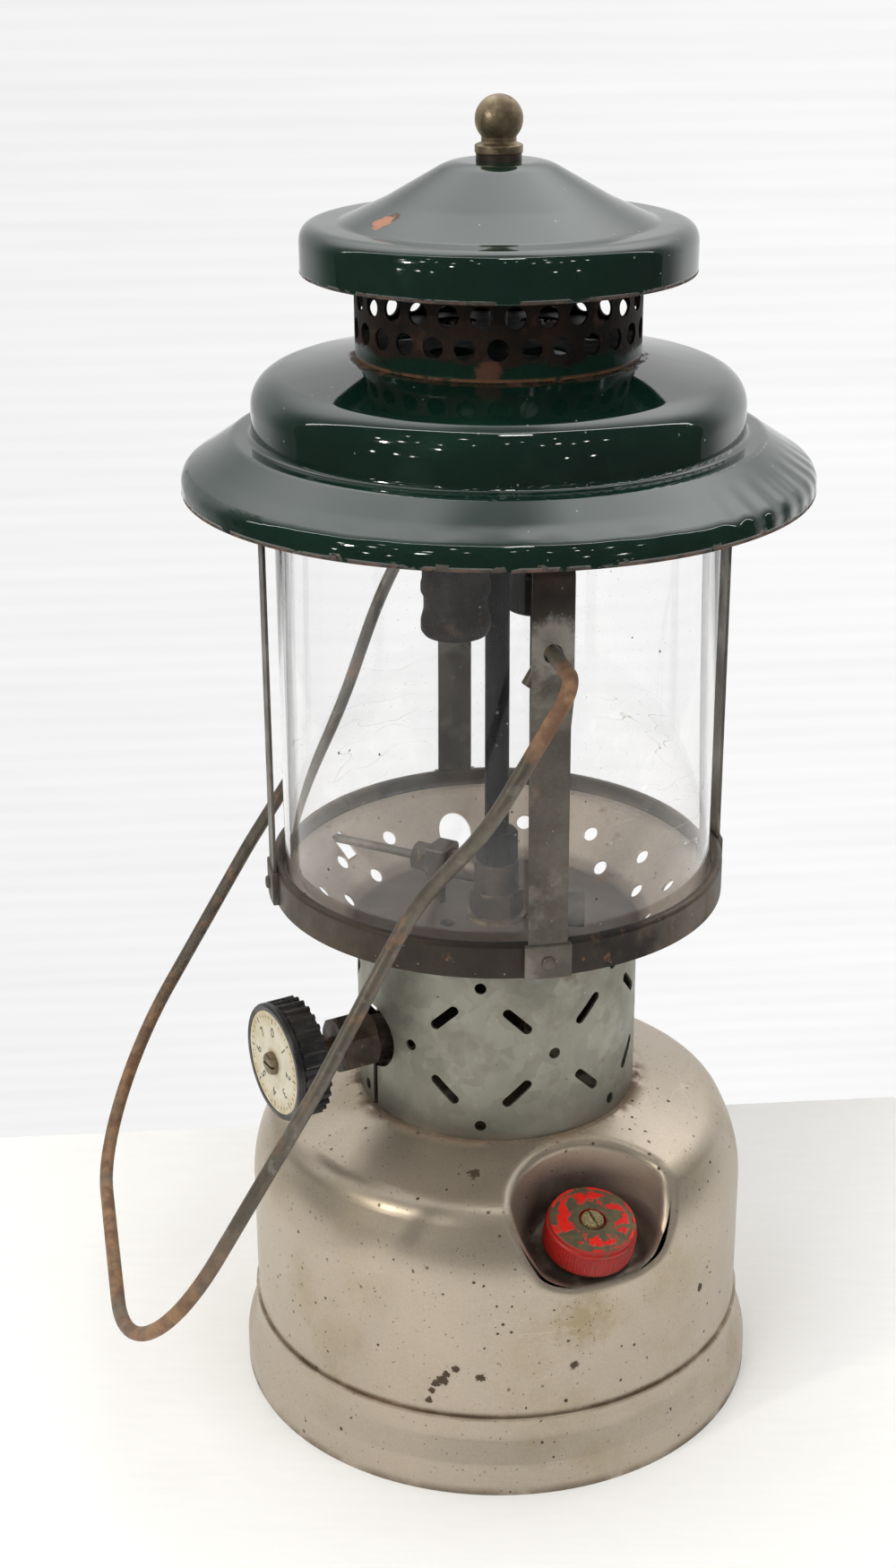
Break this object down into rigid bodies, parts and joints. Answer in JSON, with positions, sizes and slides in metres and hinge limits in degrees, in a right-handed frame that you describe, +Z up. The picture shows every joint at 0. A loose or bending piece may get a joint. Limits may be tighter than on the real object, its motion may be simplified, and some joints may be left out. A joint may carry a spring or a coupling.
{
  "type": "kerosene pressure lantern",
  "caption": "Free-standing pressure lantern: domed fuel tank with recessed filler, perforated collar, caged glass cylinder, vented wide-brimmed hat, ball nut and swinging wire bail.",
  "frame": {"origin": "centre of the foot ring, on the surface the lantern stands on", "axes": "+Z up the lantern's axis; -Y is the side with the filler cap; the control valve points to -X and -Y"},
  "size_m": [0.2127, 0.1914, 0.3815],
  "materials": {
    "tank_nickel": "worn satin nickel plate over sheet steel",
    "collar_zinc": "dull zinc plate",
    "pan_steel": "heat-browned steel",
    "cage_steel": "dull steel with rust specks",
    "bail_wire": "grey wire, rusted at the bends",
    "green_enamel": "glossy porcelain enamel",
    "burnt_band": "burnt enamel and rust",
    "aged_brass": "dark aged brass",
    "valve_brass": "blackened brass",
    "burner_iron": "sooty cast iron",
    "burner_steel": "heat-blackened steel",
    "gauze": "woven wire gauze",
    "clear_glass": "clear heat-resistant glass",
    "black_plastic": "moulded black phenolic",
    "cream_disc": "cream lacquer with plain black ticks",
    "red_paint": "chipped red paint over brass",
    "seal_rubber": "fuel-proof rubber",
    "seal_graphite": "graphite packing",
    "pump_leather": "oiled leather",
    "pump_brass": "drawn brass",
    "steel_pin": "drawn steel"
  },
  "bodies": {
    "lantern": {"tank_shell": "tank_nickel", "base_skirt": "tank_nickel", "tank_bottom": "tank_nickel", "tank_bushing": "valve_brass", "filler_neck": "aged_brass", "pump_barrel": "pump_brass", "pump_check_valve": "pump_brass", "pump_cap": "tank_nickel", "valve_body": "valve_brass", "fuel_pickup": "pump_brass", "packing_nut": "valve_brass", "valve_packing": "seal_graphite", "collar": "collar_zinc", "pan": "pan_steel", "cage_ring": "cage_steel", "cage_rivets": "cage_steel", "cage_strip_front": "cage_steel", "cage_strip_left": "cage_steel", "cage_strip_back": "cage_steel", "cage_strip_right": "cage_steel", "center_stud": "steel_pin", "generator_washer": "aged_brass", "jam_nut": "valve_brass", "cleaner_body": "valve_brass", "cleaner_nut": "valve_brass", "generator_sleeve": "burner_steel", "generator_tube": "burner_steel", "gas_tip": "aged_brass", "mixing_chamber": "burner_iron", "mantle_cap_left": "burner_iron", "mantle_cap_right": "burner_iron", "burner_screen_left": "gauze", "burner_screen_right": "gauze", "air_tube": "burner_iron"},
    "bail": {"bail": "bail_wire"},
    "valve_wheel": {"valve_stem": "valve_brass", "valve_wheel": "black_plastic", "direction_disc": "cream_disc", "wheel_screw": "aged_brass"},
    "pump_plunger": {"pump_rod": "steel_pin", "pump_leather": "pump_leather", "pump_leather_nut": "steel_pin", "pump_knob": "black_plastic"},
    "cleaner_lever": {"cleaner_lever": "cage_steel"},
    "cleaning_needle": {"cleaning_needle": "steel_pin"},
    "filler_insert": {"filler_insert": "aged_brass", "filler_gasket": "seal_rubber", "filler_screw": "aged_brass"},
    "filler_cap": {"filler_cap": "red_paint"},
    "ventilator": {"hat": "green_enamel", "vent_band": "burnt_band", "vent_cap": "green_enamel", "heat_baffle": "burner_steel", "cap_washer": "aged_brass"},
    "ball_nut": {"ball_nut": "aged_brass"},
    "globe": {"globe": "clear_glass"}
  },
  "joints": [
    {"name": "bail_swing", "type": "hinge", "parent": "lantern", "child": "bail", "pos_m": [0, 0, 0.252], "axis": [-0.2079, 0.9781, 0], "range_deg": [0, 300]},
    {"name": "valve_turn", "type": "hinge", "parent": "lantern", "child": "valve_wheel", "pos_m": [0, 0, 0.119], "axis": [-0.8572, -0.515, 0], "range_deg": [0, 450]},
    {"name": "pump_stroke", "type": "slide", "parent": "lantern", "child": "pump_plunger", "axis": [0, 0, 1], "range_m": [0, 0.036]},
    {"name": "cleaner_turn", "type": "hinge", "parent": "lantern", "child": "cleaner_lever", "pos_m": [0, 0, 0.1628], "axis": [-0.8763, 0.4818, 0], "range_deg": [0, 180]},
    {"name": "needle_rise", "type": "slide", "parent": "lantern", "child": "cleaning_needle", "axis": [0, 0, 1], "range_m": [0, 0.00201]},
    {"name": "filler_cap_lift", "type": "slide", "parent": "lantern", "child": "filler_insert", "axis": [0.1187, -0.2488, 0.9613], "range_m": [0, 0.00601]},
    {"name": "filler_cap_turn", "type": "hinge", "parent": "filler_insert", "child": "filler_cap", "pos_m": [0.02609, -0.0547, 0.069], "axis": [0.1187, -0.2488, 0.9613], "range_deg": [0, 1440]},
    {"name": "hat_lift", "type": "slide", "parent": "lantern", "child": "ventilator", "axis": [0, 0, 1], "range_m": [0, 0.36]},
    {"name": "ball_nut_turn", "type": "hinge", "parent": "ventilator", "child": "ball_nut", "pos_m": [0, 0, 0.366], "axis": [0, 0, 1], "range_deg": [0, 1800]},
    {"name": "globe_lift", "type": "slide", "parent": "lantern", "child": "globe", "axis": [0, 0, 1], "range_m": [0, 0.181]}
  ],
  "couplings": [
    {"joint": "needle_rise", "follows": "cleaner_turn", "m_per_rad": 0.00063662},
    {"joint": "filler_cap_lift", "follows": "filler_cap_turn", "m_per_rad": 0.00023873},
    {"joint": "globe_lift", "follows": "hat_lift", "ratio": 0.5}
  ]
}
